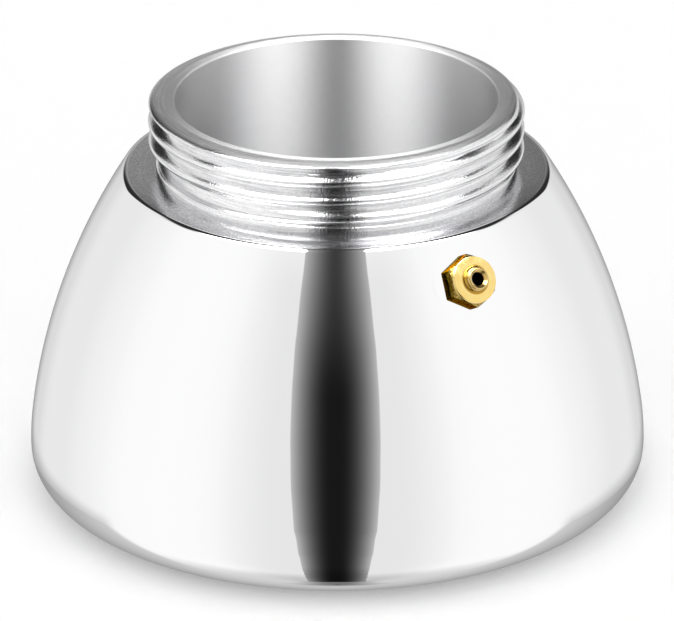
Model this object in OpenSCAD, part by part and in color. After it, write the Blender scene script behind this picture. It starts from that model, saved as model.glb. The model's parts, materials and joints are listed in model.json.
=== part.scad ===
// Boiler of a stainless steel moka pot, with its screw neck, its base and its safety valve.
// The axis is +Z, the boiler stands on z = 0 and the valve faces the front, -Y.

/* [Neck] */
// Radius of the neck's bore, where the funnel hangs
bore_r = 30; // [26:0.1:34]
// Thickness of the neck's wall at the root of the thread
neck_wall = 3.2; // [2.8:0.1:3.6]
// Height of the rim above the ledge
neck_rise = 13.9; // [12.5:0.1:16]
// Width of the flat sealing land on the rim
land_w = 1.75; // [1.2:0.05:2]
// Chamfer between the land and the bore
bore_chamfer = 0.3; // [0.1:0.1:0.5]
// Reach of the rounded lip past the root of the thread
lip_over = 0.65; // [0.4:0.05:0.9]
// Height of the rounded lip
lip_h = 1.2; // [1:0.1:1.4]
// Step out from the root of the thread to the plain foot of the neck
neck_foot_step = 0.4; // [0.2:0.1:0.8]
// Height of the plain foot above the ledge
neck_foot_h = 1.4; // [1:0.1:1.8]
// Slope between the plain foot and the root of the thread
neck_foot_slope_h = 0.3; // [0.2:0.1:0.5]
// Reach of the collar's flange under the ledge
flange_w = 2.4; // [1.5:0.1:3]
// Thickness of the flange
flange_t = 1.5; // [1:0.1:2]
// Length of the skirt below the flange
skirt_l = 8.6; // [6:0.2:12]
// Wall of the skirt
skirt_wall = 1.6; // [1.2:0.1:2]

/* [Thread] */
// Height of the thread's crest over its root
thread_depth = 1.7; // [1.4:0.1:2]
// Rise of the thread in one turn
pitch = 3.6; // [3.2:0.1:4.2]
// Width of the thread's ridge at its root
ridge_w = 3.3; // [2.8:0.1:3.6]
// Depth of the crest below the rim, at the front, on the first whole turn
crest_drop = 3.1; // [2.8:0.1:3.6]
// Turns of thread below that crest
turns_below = 2; // [1:0.25:2.25]
// Length of the run-in at each end of the thread, in degrees
run_in = 90; // [45:15:120]
// Roundness of the ridge: 1 is full and 2 is a narrow wave
ridge_power = 1.3; // [1:0.1:2]

/* [Shell] */
// Width of the flat ledge round the neck
ledge_w = 5.3; // [4.5:0.1:7]
// Height of the ledge
ledge_z = 62.3; // [54:0.1:70]
// Outer rounding of the ledge
ledge_round_r = 1.4; // [1.3:0.1:1.8]
// Radius of the upper curve of the side
side_top_r = 119; // [100:1:140]
// Radius of the lower curve of the side
side_low_r = 50; // [40:1:80]
// Lean of the side, in degrees, where the lower curve meets the upper one
side_mid_lean = 8; // [5:0.5:12]
// Radius of the rounding between the side and the foot
foot_round_r = 7.4; // [6.6:0.2:10]
// Thickness of the drawn steel
wall = 1.0; // [0.8:0.1:1.2]

/* [Base] */
// Width of the flat ring that the boiler stands on
foot_ring_w = 3.6; // [2.5:0.1:6]
// Recess of the base cap above the resting plane
cap_recess = 0.4; // [0.2:0.1:0.8]
// Thickness of the base cap
cap_t = 0.6; // [0.4:0.1:0.8]
// Thickness of the aluminium heat disc
disc_t = 3.6; // [3:0.2:4.2]
// Thickness of the water floor
floor_t = 1; // [0.8:0.1:1.2]
// Height of the floor's upturned edge above the floor
floor_lip_h = 1.6; // [1.2:0.1:1.8]

/* [Valve] */
// Depth of the valve's axis below the ledge, where it crosses the steel
valve_drop = 7.6; // [7.4:0.1:14]
// Width across the flats of the valve's hexagon
hex_af = 8.7; // [8.4:0.1:9]
// Turn of the hexagon about its axis, in degrees
hex_turn = 27; // [0:1:60]
// Height of the hexagon's face above the steel
hex_h = 4; // [3.5:0.1:4.5]
// Step in from the hexagon's flats to its turned round face
face_step = 0.1; // [0.1:0.05:0.3]
// Height of the turned face above the chamfer on the hexagon's corners
face_land = 0.5; // [0.3:0.1:0.8]
// Slope of that chamfer below the face, in degrees
corner_slope = 50; // [30:5:60]
// Depth of the flat pressed into the steel under the hexagon
seat_depth = 0.3; // [0.25:0.05:0.35]
// Reach of that flat past the hexagon's corners
seat_margin = 0.1; // [0.05:0.05:0.4]
// Radius of the threaded shank
shank_r = 3.9; // [3.7:0.1:4]
// Gap between the shank and the hole in the steel
shank_gap = 0.1; // [0.05:0.05:0.2]
// Length of the shank past the lock nut
shank_proud = 3.2; // [2.8:0.1:4]
// Wall of the shank round the spring chamber
shank_wall = 1.3; // [1.1:0.1:1.5]
// Radius of the vent hole through the boss, which guides the stem
vent_r = 1.2; // [1.1:0.05:1.4]
// Wall of the boss round the vent hole
boss_wall = 0.9; // [0.7:0.05:1]
// Radius of the fillet at the boss's foot
boss_fillet_r = 0.6; // [0.3:0.1:0.8]
// Height of the boss above the face
boss_h = 1.4; // [1:0.1:1.8]
// Rounding of the boss's tip
boss_round_r = 0.4; // [0.2:0.1:0.6]
// Depth of the chamber's end below the hexagon's face
chamber_roof = 2; // [1.6:0.1:2.4]
// Thickness of the sealing washer inside the boiler
washer_t = 1; // [0.8:0.1:1.4]
// Step in from the pressed flat to the washer's edge
washer_margin = 0.2; // [0.1:0.1:0.4]
// Width across the flats of the lock nut
nut_af = 10; // [9:0.5:11]
// Thickness of the lock nut
nut_t = 2.6; // [2:0.1:3]
// Thickness of the seat plug pressed into the valve's inner end
plug_t = 1.6; // [1.2:0.1:2]
// Radius of the steam inlet through the seat plug
inlet_r = 1.1; // [1:0.1:1.3]
// Radius of the pin that carries the poppet's seal
pin_r = 0.65; // [0.5:0.05:0.8]
// Cover of the poppet's silicone seal round the inlet
seal_cover = 0.8; // [0.6:0.1:1]
// Thickness of the seal
seal_t = 0.8; // [0.6:0.1:1]
// Thickness of the poppet's head
head_t = 1; // [0.8:0.1:1.2]
// Gap between the poppet's head and the chamber
head_gap = 0.2; // [0.1:0.05:0.3]
// Gap between the poppet's stem and the vent hole
stem_gap = 0.08; // [0.05:0.01:0.1]
// Lift of the poppet when the valve blows
valve_lift = 1.2; // [0.8:0.1:1.4]
// Depth of the stem's end below the boss's tip when the poppet is lifted
stem_margin = 1.3; // [1:0.1:1.6]
// Diameter of the spring's wire
wire_d = 0.5; // [0.4:0.05:0.6]
// Gap between the spring and the chamber
spring_gap = 0.25; // [0.2:0.05:0.35]
// Number of turns in the spring
spring_turns = 6; // [5:0.5:7]

/* [Hidden] */
$fn = 96;
fit = 0.02;         // gap between pieces that are pressed, brazed or screwed together
touch = 0.01;       // gap between pieces that move apart and touch at rest
inside = 0.15;      // how far the thread's ridge starts inside the metal that carries it
ridge_root = 0.6;   // how far the ridge's back lies behind the edge of the sealing land
past = 1;           // how far a cut runs past the face that it opens
rim_skin = 0.1;     // metal left between the top of the ridge and the sealing land
arc_steps = 8;      // chords in a short arc of the shell
top_steps = 14;     // chords in the long upper arc
low_steps = 3;      // chords in the lower arc

// A point on an arc about c: a is the direction of travel there, 0 outwards and 90 upwards.
function on_arc(c, r, a) = [c[0] + r * sin(a), c[1] - r * cos(a)];
function arc(c, r, a0, a1, n = arc_steps) = [for (i = [0:n]) on_arc(c, r, a0 + (a1 - a0) * i / n)];
function reversed(list) = [for (i = [len(list) - 1:-1:0]) list[i]];

// Radii and heights of the neck.
root_r = bore_r + neck_wall;
crest_r = root_r + thread_depth;
land_r = bore_r + land_w;
lip_w = root_r + lip_over - land_r;
neck_foot_r = root_r + neck_foot_step;
rim_z = ledge_z + neck_rise;
lip_z = rim_z - lip_h;
ledge_under_z = ledge_z - wall;
flange_under_z = ledge_under_z - flange_t;
bore_end_z = flange_under_z - skirt_l;

// The side is a chain of tangent arcs: foot, lower side, upper side and ledge rounding.
// It hangs from the ledge, so the foot's radius follows the neck's.
mid_a = 90 + side_mid_lean;
top_centre_z = foot_round_r - (side_low_r - side_top_r) * cos(mid_a);
top_a = acos((top_centre_z + ledge_round_r - ledge_z) / (side_top_r - ledge_round_r));
ledge_c = [neck_foot_r + ledge_w, ledge_z - ledge_round_r];
top_c = on_arc(ledge_c, ledge_round_r - side_top_r, top_a);
low_c = on_arc(top_c, side_top_r - side_low_r, mid_a);
foot_c = [low_c[0] + side_low_r - foot_round_r, foot_round_r];
cap_r = foot_c[0] - foot_ring_w;

// Heights of the base's layers and the angles at which the floor meets the shell's inner wall.
disc_z = cap_recess + cap_t;
floor_z = disc_z + disc_t;
floor_top_z = floor_z + floor_t;
foot_inner_r = foot_round_r - wall;
function foot_angle(z) = acos((foot_round_r - z) / foot_inner_r);
floor_a0 = foot_angle(floor_z);
floor_a1 = min(90, foot_angle(floor_top_z + floor_lip_h));

// The side seen from outside, from the foot to the ledge, and its inner face a wall further in.
outer_side = concat(arc(foot_c, foot_round_r, 0, 90), arc(low_c, side_low_r, 90, mid_a, low_steps),
    arc(top_c, side_top_r, mid_a, top_a, top_steps), arc(ledge_c, ledge_round_r, top_a, 180));
inner_side = concat(arc(foot_c, foot_inner_r, 0, floor_a0),
    arc(foot_c, foot_inner_r, floor_a0, floor_a1),
    arc(low_c, side_low_r - wall, 90, mid_a, low_steps),
    arc(top_c, side_top_r - wall, mid_a, top_a, top_steps),
    arc(ledge_c, ledge_round_r - wall, top_a, 180, low_steps));

// The valve's own frame: its origin is on the outer face of the steel, and its +Z points out.
valve_z = ledge_z - valve_drop;
valve_a = acos((top_c[1] - valve_z) / side_top_r);
valve_p = on_arc(top_c, side_top_r, valve_a);
hex_r = hex_af / 2 / cos(30);
face_r = hex_af / 2 - face_step;
seat_r = hex_r + seat_margin;
washer_r = seat_r - washer_margin;
chamber_r = shank_r - shank_wall;
boss_r = vent_r + boss_wall;
seat_u = -seat_depth;
seat_back_u = seat_u - wall;
nut_top_u = seat_back_u - washer_t;
shank_end_u = nut_top_u - nut_t - shank_proud;
plug_top_u = shank_end_u + plug_t;
seal_u = plug_top_u + touch;
head_u = seal_u + seal_t;
head_top_u = head_u + head_t;
roof_u = hex_h - chamber_roof;
boss_top_u = hex_h + boss_h;
stem_end_u = boss_top_u - stem_margin - valve_lift;
stem_r = vent_r - stem_gap;
spring_r = chamber_r - spring_gap - wire_d / 2;

module at_valve() {
    translate([0, -valve_p[0], valve_p[1]]) rotate([180 - valve_a, 0, 0]) children();
}

// A round or, with six sides, a hexagonal piece from u0 to u1, with a round hole through it.
module ring(r_out, r_in, u0, u1, sides = $fn) {
    translate([0, 0, u0]) difference() {
        cylinder(r = r_out, h = u1 - u0, $fn = sides);
        translate([0, 0, -past]) cylinder(r = r_in, h = u1 - u0 + 2 * past);
    }
}

// Bell of drawn steel, open at the foot and at the neck, with a flat pressed in for the valve.
module boiler_shell() {
    color([0.88, 0.88, 0.89]) difference() {
        union() {
            rotate_extrude() polygon(concat([[cap_r, 0]], outer_side, [[neck_foot_r, ledge_z],
                [neck_foot_r, ledge_under_z]], reversed(inner_side), [[cap_r, wall]]));
            at_valve() translate([0, 0, seat_back_u]) cylinder(r = seat_r, h = wall);
        }
        at_valve() translate([0, 0, seat_u]) cylinder(r = seat_r, h = hex_h);
        at_valve() translate([0, 0, shank_end_u])
            cylinder(r = shank_r + shank_gap, h = hex_h - shank_end_u);
    }
}

// The lip's radius at a height, for a lip that reaches w past the land.
function lip_r(z, w) = land_r + w * sqrt(max(0, 1 - pow(max(0, z - lip_z) / lip_h, 2)));

// The ridge is a chain of sections: a is its turn, s its share of the full depth there.
thread_step = 6;
ridge_steps = 6;
thread_from = -90 - 360 * turns_below - run_in;
thread_to = -90 + 360 * (crest_drop + ridge_w / 3) / pitch;
function crest_z(a) = rim_z - crest_drop + pitch * (a + 90) / 360;
function share(a) = min(1, (a - thread_from) / run_in, (thread_to - a) / run_in);
function ridge_z(a, i) = let (low = crest_z(a) - ridge_w / 2,
    high = min(crest_z(a) + ridge_w / 2, rim_z - rim_skin)) low + (high - low) * i / ridge_steps;
function ridge_r(a, z) = let (u = min(1, abs(z - crest_z(a)) * 2 / ridge_w), s = share(a))
    min(root_r - inside + (thread_depth + inside) * s * pow(cos(90 * u), ridge_power),
        lip_r(z, lip_w - inside + (thread_depth - lip_over + inside) * s));
function spin(r, a, z) = [r * cos(a), r * sin(a), z];
function ridge_section(a) = let (r_in = land_r - ridge_root) concat([spin(r_in, a, ridge_z(a, 0))],
    [for (i = [0:ridge_steps]) spin(ridge_r(a, ridge_z(a, i)), a, ridge_z(a, i))],
    [spin(r_in, a, ridge_z(a, ridge_steps))]);

// A closed tube through equal rings of points, with flat ends.
module swept(rings) {
    n = len(rings[0]);
    last = len(rings) - 1;
    points = [for (section = rings) for (p = section) p];
    sides = [for (j = [0:last - 1]) for (i = [0:n - 1])
        let (a = j * n + i, b = j * n + (i + 1) % n) each [[a, b, b + n], [a, b + n, a + n]]];
    ends = [[for (i = [n - 1:-1:0]) i], [for (i = [0:n - 1]) last * n + i]];
    polyhedron(points = points, faces = concat(sides, ends));
}

module thread_ridge() {
    steps = floor((thread_to - thread_from) / thread_step);
    swept([for (k = [0:steps]) ridge_section(thread_from + k * thread_step)]);
}

// Turned collar: skirt and flange inside the boiler, screw neck and sealing rim above the ledge.
module neck_collar() {
    lip_end_a = -acos((root_r - land_r) / lip_w);
    lip_steps = 12;
    lip = [for (i = [0:lip_steps]) let (a = lip_end_a + (90 - lip_end_a) * i / lip_steps)
        [land_r + lip_w * cos(a), lip_z + lip_h * sin(a)]];
    color([0.80, 0.80, 0.81]) union() {
        rotate_extrude() polygon(concat([
            [bore_r, bore_end_z],
            [bore_r + skirt_wall, bore_end_z],
            [bore_r + skirt_wall, flange_under_z],
            [neck_foot_r + flange_w, flange_under_z],
            [neck_foot_r + flange_w, ledge_under_z],
            [neck_foot_r, ledge_under_z],
            [neck_foot_r, ledge_z + neck_foot_h],
            [root_r, ledge_z + neck_foot_h + neck_foot_slope_h]], lip,
            [[bore_r + bore_chamfer, rim_z], [bore_r, rim_z - bore_chamfer]]));
        thread_ridge();
    }
}

// Pan that closes the water space, with an edge that follows the shell's inner wall.
module water_floor() {
    edge = arc(foot_c, foot_inner_r, floor_a0, floor_a1);
    rim = edge[arc_steps];
    color([0.72, 0.72, 0.73]) rotate_extrude() polygon(concat([[0, floor_z]], edge,
        [[rim[0] - floor_t, rim[1]], [rim[0] - floor_t, floor_top_z], [0, floor_top_z]]));
}

module heat_disc() {
    color([0.80, 0.81, 0.83]) translate([0, 0, disc_z]) cylinder(r = cap_r - cap_t - fit, h = disc_t);
}

// Pressed cap round the heat disc, recessed so that the boiler stands on its foot ring.
module base_cap() {
    color([0.66, 0.66, 0.67]) difference() {
        translate([0, 0, cap_recess]) cylinder(r = cap_r, h = floor_z - cap_recess);
        translate([0, 0, disc_z]) cylinder(r = cap_r - cap_t, h = floor_z);
    }
}

// Hexagon with a chamfered face, boss and vent hole outside, threaded shank and chamber inside.
module valve_body() {
    land_u = hex_h - face_land;
    chamfer_r = hex_r + fit;
    chamfer_u = land_u - (chamfer_r - face_r) * tan(corner_slope);
    curve_steps = 5;
    foot_u = hex_h - boss_fillet_r;
    boss = concat([[0, foot_u], [boss_r + boss_fillet_r, foot_u]],
        [for (i = [0:curve_steps]) let (a = 90 * i / curve_steps)
            [boss_r + boss_fillet_r * (1 - sin(a)), hex_h + boss_fillet_r * (1 - cos(a))]],
        [for (i = [0:curve_steps]) let (a = 90 * i / curve_steps)
            [boss_r - boss_round_r * (1 - cos(a)), boss_top_u - boss_round_r * (1 - sin(a))]],
        [[0, boss_top_u]]);
    color([0.86, 0.68, 0.28]) at_valve() difference() {
        union() {
            intersection() {
                rotate([0, 0, hex_turn]) translate([0, 0, seat_u])
                    cylinder(r = hex_r, h = hex_h - seat_u, $fn = 6);
                rotate_extrude() polygon([[0, seat_u], [chamfer_r, seat_u], [chamfer_r, chamfer_u],
                    [face_r, land_u], [face_r, hex_h], [0, hex_h]]);
            }
            translate([0, 0, shank_end_u]) cylinder(r = shank_r, h = -shank_end_u);
            rotate_extrude() polygon(boss);
        }
        translate([0, 0, shank_end_u - past]) cylinder(r = chamber_r, h = roof_u - shank_end_u + past);
        translate([0, 0, roof_u - past]) cylinder(r = vent_r, h = boss_top_u - roof_u + 2 * past);
    }
}

module valve_washer() {
    color([0.85, 0.84, 0.80]) at_valve() ring(washer_r, shank_r + fit, nut_top_u, seat_back_u);
}

module valve_lock_nut() {
    color([0.80, 0.64, 0.28]) at_valve()
        ring(nut_af / 2 / cos(30), shank_r + fit, nut_top_u - nut_t, nut_top_u, 6);
}

module valve_seat_plug() {
    color([0.80, 0.64, 0.28]) at_valve() ring(chamber_r - fit, inlet_r, shank_end_u, plug_top_u);
}

// Head that rides in the chamber, pin that carries the seal and stem that shows in the vent.
module poppet() {
    color([0.60, 0.60, 0.61]) at_valve() {
        translate([0, 0, head_u]) cylinder(r = chamber_r - head_gap, h = head_t);
        translate([0, 0, seal_u]) cylinder(r = pin_r, h = seal_t + head_t);
        translate([0, 0, head_u]) cylinder(r = stem_r, h = stem_end_u - head_u);
    }
}

module poppet_seal() {
    color([0.80, 0.20, 0.15]) at_valve() ring(inlet_r + seal_cover, pin_r + fit, seal_u, head_u);
}

// Coil spring between the poppet's head and the roof of the chamber.
module valve_spring() {
    turn_steps = 14;
    wire_sides = 8;
    steps = floor(spring_turns * turn_steps);
    rise = roof_u - head_top_u - 2 * touch - wire_d;
    color([0.62, 0.62, 0.64]) at_valve() translate([0, 0, head_top_u + touch + wire_d / 2])
        swept([for (k = [0:steps]) let (a = 360 * k / turn_steps, z = rise * k / steps)
            [for (i = [0:wire_sides - 1]) let (b = 360 * i / wire_sides)
                spin(spring_r + wire_d / 2 * cos(b), a, z + wire_d / 2 * sin(b))]]);
}

boiler_shell();
neck_collar();
water_floor();
heat_disc();
base_cap();
valve_body();
valve_washer();
valve_lock_nut();
valve_seat_plug();
poppet();
poppet_seal();
valve_spring();
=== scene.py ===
import json
from math import acos, atan2, cos, degrees, hypot, pi, radians, remainder, sin, tan

import bmesh
import bpy
from mathutils import Matrix, Vector


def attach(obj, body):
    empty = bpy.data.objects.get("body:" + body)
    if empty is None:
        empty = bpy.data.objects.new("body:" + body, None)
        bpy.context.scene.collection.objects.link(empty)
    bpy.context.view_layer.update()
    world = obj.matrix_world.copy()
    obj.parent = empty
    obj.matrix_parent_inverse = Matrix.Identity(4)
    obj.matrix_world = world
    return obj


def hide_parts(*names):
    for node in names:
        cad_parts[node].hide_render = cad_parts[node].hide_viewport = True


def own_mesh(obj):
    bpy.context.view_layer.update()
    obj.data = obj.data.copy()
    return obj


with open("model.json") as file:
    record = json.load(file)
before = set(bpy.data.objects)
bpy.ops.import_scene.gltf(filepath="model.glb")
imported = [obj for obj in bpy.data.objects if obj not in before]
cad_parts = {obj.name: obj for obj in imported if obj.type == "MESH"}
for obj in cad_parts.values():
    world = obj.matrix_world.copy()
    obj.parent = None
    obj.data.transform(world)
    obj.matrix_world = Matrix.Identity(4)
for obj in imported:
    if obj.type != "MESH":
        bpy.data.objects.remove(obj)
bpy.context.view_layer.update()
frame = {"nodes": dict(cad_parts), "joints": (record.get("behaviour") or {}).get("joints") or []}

mm = 0.001
print("frame loaded:", ", ".join(sorted(frame["nodes"])))

# camera: it stands to the left of the valve and looks down on the rim
shot = {
    "azimuth": -121.6,       # degrees from +X to the camera, seen from above
    "elevation": 23.52,
    "distance": 1160.0,      # mm from the target
    "targetHeight": 32.95,
    "lens": 329.66,          # mm, as the sensor's width is
    "sensor": 36.0,
    "roll": -0.2,
    "seesTo": 20.0,          # metres
}


def newObject(name, data):
    thing = bpy.data.objects.new(name, data)
    bpy.context.scene.collection.objects.link(thing)
    return thing


def newPiece(name, points=(), edges=(), faces=(), materials=()):
    mesh = bpy.data.meshes.new(name)
    mesh.from_pydata(points, edges, faces)
    for material in materials:
        mesh.materials.append(material)
    return newObject(name, mesh)


def setCamera():
    turn, rise = radians(shot["azimuth"]), radians(shot["elevation"])
    target = Vector((0, 0, shot["targetHeight"])) * mm
    out = Vector((cos(rise) * cos(turn), cos(rise) * sin(turn), sin(rise)))
    data = bpy.data.cameras.new("camera")
    data.lens = shot["lens"]
    data.sensor_width = shot["sensor"]
    data.clip_end = shot["seesTo"]
    camera = newObject("camera", data)
    aim = (-out).to_track_quat("-Z", "Y").to_matrix().to_4x4()
    spin = Matrix.Rotation(radians(shot["roll"]), 4, "Z")
    camera.matrix_world = Matrix.Translation(target + out * shot["distance"] * mm) @ aim @ spin
    bpy.context.scene.camera = camera


setCamera()
print("camera set")


# node helpers. A wire is a node's output that sums are written with: each sign adds a Math node
class Wire:
    def __init__(self, tree, socket):
        self.tree = tree
        self.socket = socket

    def __add__(self, other):
        return calc("ADD", self, other)

    def __radd__(self, other):
        return calc("ADD", other, self)

    def __sub__(self, other):
        return calc("SUBTRACT", self, other)

    def __rsub__(self, other):
        return calc("SUBTRACT", other, self)

    def __mul__(self, other):
        return calc("MULTIPLY", self, other)

    def __truediv__(self, other):
        return calc("DIVIDE", self, other)


def feed(socket, value):
    # a wire is linked to the socket, and anything else is set on it
    if isinstance(value, Wire):
        value.tree.links.new(value.socket, socket)
    else:
        socket.default_value = value


def setInputs(node, **inputs):
    # inputs go by their labels, with _ for a space
    for label, value in inputs.items():
        feed(node.inputs[label.replace("_", " ")], value)
    return node


def addNode(tree, kind, **inputs):
    return setInputs(tree.nodes.new(kind), **inputs)


def output(node, name=0):
    return Wire(node.id_data, node.outputs[name])


def calc(operation, *values, clamp=False):
    tree = next(value.tree for value in values if isinstance(value, Wire))
    node = tree.nodes.new("ShaderNodeMath")
    node.operation = operation
    node.use_clamp = clamp
    for socket, value in zip(node.inputs, values):
        feed(socket, value)
    return output(node)


def ease(value, low, high, toLow=0.0, toHigh=1.0, smooth=True):
    node = addNode(value.tree, "ShaderNodeMapRange", Value=value, From_Min=low, From_Max=high,
                   To_Min=toLow, To_Max=toHigh)
    node.interpolation_type = "SMOOTHSTEP" if smooth else "LINEAR"
    return output(node, "Result")


def blend(factor, a, b):
    return output(addNode(factor.tree, "ShaderNodeMix", Factor=factor, A=a, B=b), "Result")


def split(vector):
    node = addNode(vector.tree, "ShaderNodeSeparateXYZ", Vector=vector)
    return [output(node, axis) for axis in "XYZ"]


def combine(x, y, z=0.0):
    return output(addNode(x.tree, "ShaderNodeCombineXYZ", X=x, Y=y, Z=z))


def tones(value, stops):
    # brightness read off a ramp whose stops are (place, level)
    node = addNode(value.tree, "ShaderNodeValToRGB", Fac=value)
    ramp = node.color_ramp
    ramp.interpolation = "CARDINAL"
    while len(ramp.elements) > 1:
        ramp.elements.remove(ramp.elements[-1])
    for index, (place, level) in enumerate(stops):
        element = ramp.elements[0] if index == 0 else ramp.elements.new(place)
        element.position = place
        element.color = (level, level, level, 1)
    return output(node, "Color")


def newMaterial(name, colour, rough, metallic=1.0):
    material = bpy.data.materials.new(name)
    material.use_nodes = True
    shader = material.node_tree.nodes["Principled BSDF"]
    setInputs(shader, Base_Color=(*colour, 1), Metallic=metallic, Roughness=rough)
    return material, shader


# studio: two wide soft panels with a dark gap between them on the camera's side, a grey
# ground behind the pot and a dark ceiling above that; only reflections see it.
# A fade is (from, to) in a direction's height, front or side, each from -1 to 1, and then
# the values there where they aren't 0 and 1.
studio = {
    "background": 1.0,       # brightness to all that isn't a reflection
    # brightness from straight in front (0) round to straight behind (1)
    "panels": [(0.0, 0.8), (0.1, 0.81), (0.14, 0.82), (0.17, 0.85), (0.195, 0.88), (0.225, 0.92),
               (0.25, 0.96), (0.31, 0.99), (0.44, 0.99), (0.5, 0.97), (0.53, 0.94), (0.57, 0.91),
               (0.625, 0.87), (0.67, 0.83), (0.78, 0.82), (0.83, 0.73), (0.87, 0.69), (0.905, 0.55),
               (0.95, 0.37), (1.0, 0.33)],
    "underFade": (-0.7, -0.98, 1.0, 0.66),
    "groundDown": (-0.37, -0.45), "groundBack": (0.0, -0.14),
    "groundLevel": 0.66,     # brightness of the ground at the pot's sides
    "groundSlope": 0.4,      # and how much it loses straight behind
    "topFade": (0.55, 0.78), "topLevel": 0.95,
    "ceilingEdge": (-0.55, -0.78, 0.62, 0.1),     # height of its lower edge, by front
    "ceilingSoft": (-0.04, 0.08), "ceilingBack": (-0.05, -0.25),
    "ceilingLevel": 0.025,   # and a glow on it, straight behind
    "glowBack": (0.86, 0.97), "glowSide": (-0.12, 0.12, 0.36, 0.22), "glowUp": (0.43, 0.55, 1.0, 0.05),
    "lampUp": (0.7, 0.82),
    "lamps": [(0.0, 0.0), (0.06, 0.05), (0.14, 0.48), (0.22, 0.75), (0.34, 0.9), (0.44, 1.0),
              (0.53, 0.75), (0.62, 0.0), (1.0, 0.0)],
    "lampGain": 11.5,        # how much brighter than the panels the lamps overhead are
    "gapTurn": 0.0133,       # sideways turn of the gap, in radians
    # half the gap's width from straight under (0) to straight over (1)
    "gapHalf": [(0.0, 0.1), (0.017, 0.111), (0.055, 0.134), (0.107, 0.154), (0.17, 0.172),
                (0.235, 0.187), (0.285, 0.197), (0.325, 0.217), (0.4, 0.2435), (0.47, 0.272),
                (0.54, 0.287), (0.6, 0.291), (0.66, 0.2865), (0.72, 0.272), (0.8, 0.24),
                (0.9, 0.2), (0.97, 0.165), (1.0, 0.155)],
    "gapEdge": (1.012, 0.988),
    # brightness in its middle, how much more at its edges and how late that comes
    "gapLow": (0.009, 0.5, 3.3), "gapHigh": (0.045, 0.42, 2.0),
    "gapUnder": (-0.3, -0.9, 1.0, 0.6), "gapRise": (0.25, 0.68),
    "gapEnd": 0.2,           # how near under the pot the gap ends
    "gapEndOver": -0.78,     # and how far it runs on above it
    "gapEndRise": (-0.2, 0.2), "gapEndSoft": 0.012,
    "nearDown": (-0.8, -0.9), "nearFront": (-0.25, 0.0), "nearSide": (0.02, 0.17, 0.33, 1.0),
}


def surroundings(front, side, up):
    angle = calc("ABSOLUTE", calc("ARCTAN2", side, front)) / pi
    level = tones(angle, studio["panels"])

    # under the horizon behind the pot it is greyer, and greyest straight behind
    level = level * ease(up, *studio["underFade"])
    ground = studio["groundLevel"] + front * studio["groundSlope"]
    level = blend(ease(up, *studio["groundDown"]) * ease(front, *studio["groundBack"]), level, ground)
    level = blend(ease(up, *studio["topFade"]), level, studio["topLevel"])

    # dark ceiling behind the pot: it comes down low straight behind and stays high at the sides
    edge = ease(front, *studio["ceilingEdge"])
    ceiling = ease(up - edge, *studio["ceilingSoft"]) * ease(front, *studio["ceilingBack"])
    glow = ease(angle, *studio["glowBack"]) * ease(side, *studio["glowSide"]) * ease(up, *studio["glowUp"])
    level = blend(ceiling, level, studio["ceilingLevel"] + glow)
    lamps = ease(up, *studio["lampUp"]) * tones(angle, studio["lamps"])
    return level * (1.0 + lamps * studio["lampGain"])


def gapLevel(across, middle, more, power):
    return middle + calc("POWER", across, power) * more


def darkGap(level, front, side, up):
    # the gap: black in the middle, greyer towards its edges and overhead
    offset = calc("ABSOLUTE", side + front * studio["gapTurn"])
    across = offset / calc("MAXIMUM", tones(up * 0.5 + 0.5, studio["gapHalf"]), 0.001)
    low = gapLevel(across, *studio["gapLow"]) * ease(up, *studio["gapUnder"])
    gap = blend(ease(up, *studio["gapRise"]), low, gapLevel(across, *studio["gapHigh"]))
    end, soft = studio["gapEnd"], studio["gapEndSoft"]
    endHere = ease(up, *studio["gapEndRise"], end, studio["gapEndOver"])
    level = blend(ease(across, *studio["gapEdge"]) * ease(front - endHere, -soft, soft), level, gap)

    # past its end the ground close under the pot is mid grey, paler to the sides
    near = ease(front, end + soft, end - soft) * ease(up, *studio["nearDown"])
    near = near * ease(front, *studio["nearFront"])
    return level * blend(near, 1.0, ease(offset, *studio["nearSide"]))


def makeStudio():
    world = bpy.data.worlds.new("studio")
    bpy.context.scene.world = world
    world.use_nodes = True
    tree = world.node_tree
    tree.nodes.clear()
    toward = output(addNode(tree, "ShaderNodeTexCoord"), "Generated")
    facing = tree.nodes.new("ShaderNodeVectorRotate")
    facing.rotation_type = "Z_AXIS"
    setInputs(facing, Vector=toward, Angle=radians(-shot["azimuth"]))
    front, side, up = split(output(facing))
    level = darkGap(surroundings(front, side, up), front, side, up)
    glossy = output(addNode(tree, "ShaderNodeLightPath"), "Is Glossy Ray")
    level = blend(glossy, studio["background"], level)
    light = addNode(tree, "ShaderNodeBackground", Color=level)
    addNode(tree, "ShaderNodeOutputWorld", Surface=output(light))


# floor: white where the camera sees it, a little darker in the light it gives back
sheet = {"half": 6.0, "seen": 1.0, "given": 0.85, "rough": 0.9}


def makeFloor():
    material, shader = newMaterial("paleFloor", (0.8, 0.8, 0.8), sheet["rough"], metallic=0.0)
    seen = output(addNode(shader.id_data, "ShaderNodeLightPath"), "Is Camera Ray")
    level = ease(seen, 0.0, 1.0, sheet["given"], sheet["seen"])
    setInputs(shader, Base_Color=level, Specular_IOR_Level=0.0)
    half = sheet["half"]
    corners = [(-half, -half, 0), (half, -half, 0), (half, half, 0), (-half, half, 0)]
    floor = newPiece("floor", corners, faces=[(0, 1, 2, 3)], materials=[material])
    floor.visible_glossy = False


makeStudio()
makeFloor()
bpy.context.scene.view_settings.view_transform = "Standard"
print("studio and floor made")


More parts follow.
